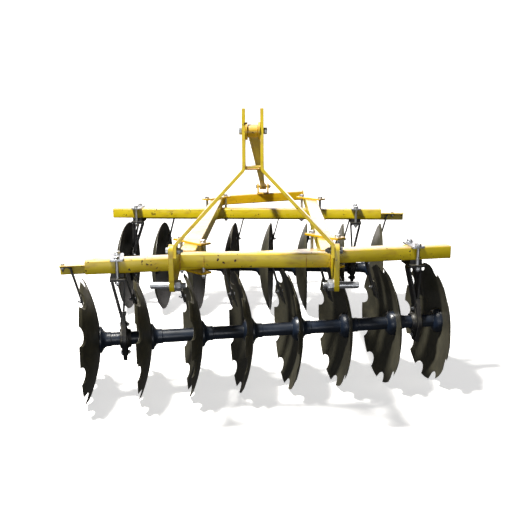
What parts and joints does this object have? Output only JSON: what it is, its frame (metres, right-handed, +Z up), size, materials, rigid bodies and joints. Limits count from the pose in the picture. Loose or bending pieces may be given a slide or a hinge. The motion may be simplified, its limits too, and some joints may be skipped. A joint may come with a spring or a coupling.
{
  "type": "mounted offset disc harrow",
  "caption": "Tractor-mounted offset disc harrow: two angled gangs of dished discs, notched in front and plain behind, under a yellow tube frame with a three-point hitch mast.",
  "frame": {"origin": "middle of the harrow's box, on the ground the discs stand on", "axes": "+Z up, -Y towards the tractor, +X to the right as seen from the tractor looking back"},
  "size_m": [1.8814, 2.3248, 1.3],
  "materials": {
    "yellow_paint": "gloss yellow paint with chips along the edges",
    "black_paint": "semi-gloss black paint",
    "axle_black": "semi-gloss blue-black paint",
    "disc_steel": "dark satin varnish on hardened steel",
    "zinc": "bright zinc plate"
  },
  "bodies": {
    "frame": {"front_crossbar": "yellow_paint", "front_gang_beam": "yellow_paint", "front_left_clamp": "yellow_paint", "front_left_hanger": "black_paint", "front_left_hanger_bearing": "black_paint", "front_left_hanger_clamp": "zinc", "front_right_clamp": "yellow_paint", "front_right_hanger": "black_paint", "front_right_hanger_bearing": "black_paint", "front_right_hanger_clamp": "zinc", "front_scraper_bar": "yellow_paint", "left_foot_bolt": "zinc", "left_hitch_plate": "yellow_paint", "left_lower_pin": "zinc", "left_mast_leg": "yellow_paint", "left_rail": "yellow_paint", "mast_bolt": "zinc", "mast_spool": "yellow_paint", "mast_stay": "yellow_paint", "mast_strap": "yellow_paint", "rear_crossbar": "yellow_paint", "rear_gang_beam": "yellow_paint", "rear_left_clamp": "yellow_paint", "rear_left_hanger": "black_paint", "rear_left_hanger_bearing": "black_paint", "rear_left_hanger_clamp": "zinc", "rear_right_clamp": "yellow_paint", "rear_right_hanger": "black_paint", "rear_right_hanger_bearing": "black_paint", "rear_right_hanger_clamp": "zinc", "rear_scraper_bar": "yellow_paint", "right_foot_bolt": "zinc", "right_hitch_plate": "yellow_paint", "right_lower_pin": "zinc", "right_mast_leg": "yellow_paint", "right_rail": "yellow_paint", "stay_bolt": "zinc", "stay_bracket": "yellow_paint"},
    "front_gang": {"front_disc_1": "disc_steel", "front_disc_2": "disc_steel", "front_disc_3": "disc_steel", "front_disc_4": "disc_steel", "front_disc_5": "disc_steel", "front_disc_6": "disc_steel", "front_disc_7": "disc_steel", "front_disc_8": "disc_steel", "front_gang_axle": "axle_black"},
    "rear_gang": {"rear_disc_1": "disc_steel", "rear_disc_2": "disc_steel", "rear_disc_3": "disc_steel", "rear_disc_4": "disc_steel", "rear_disc_5": "disc_steel", "rear_disc_6": "disc_steel", "rear_disc_7": "disc_steel", "rear_disc_8": "disc_steel", "rear_gang_axle": "axle_black"}
  },
  "joints": [
    {"name": "front_gang_spin", "type": "hinge", "parent": "frame", "child": "front_gang", "pos_m": [0.09652, -0.64457, 0.28046], "axis": [0.9829, 0.1839, 0], "continuous": true},
    {"name": "rear_gang_spin", "type": "hinge", "parent": "frame", "child": "rear_gang", "pos_m": [-0.08648, 0.68043, 0.28046], "axis": [0.9981, -0.0611, 0], "continuous": true}
  ]
}
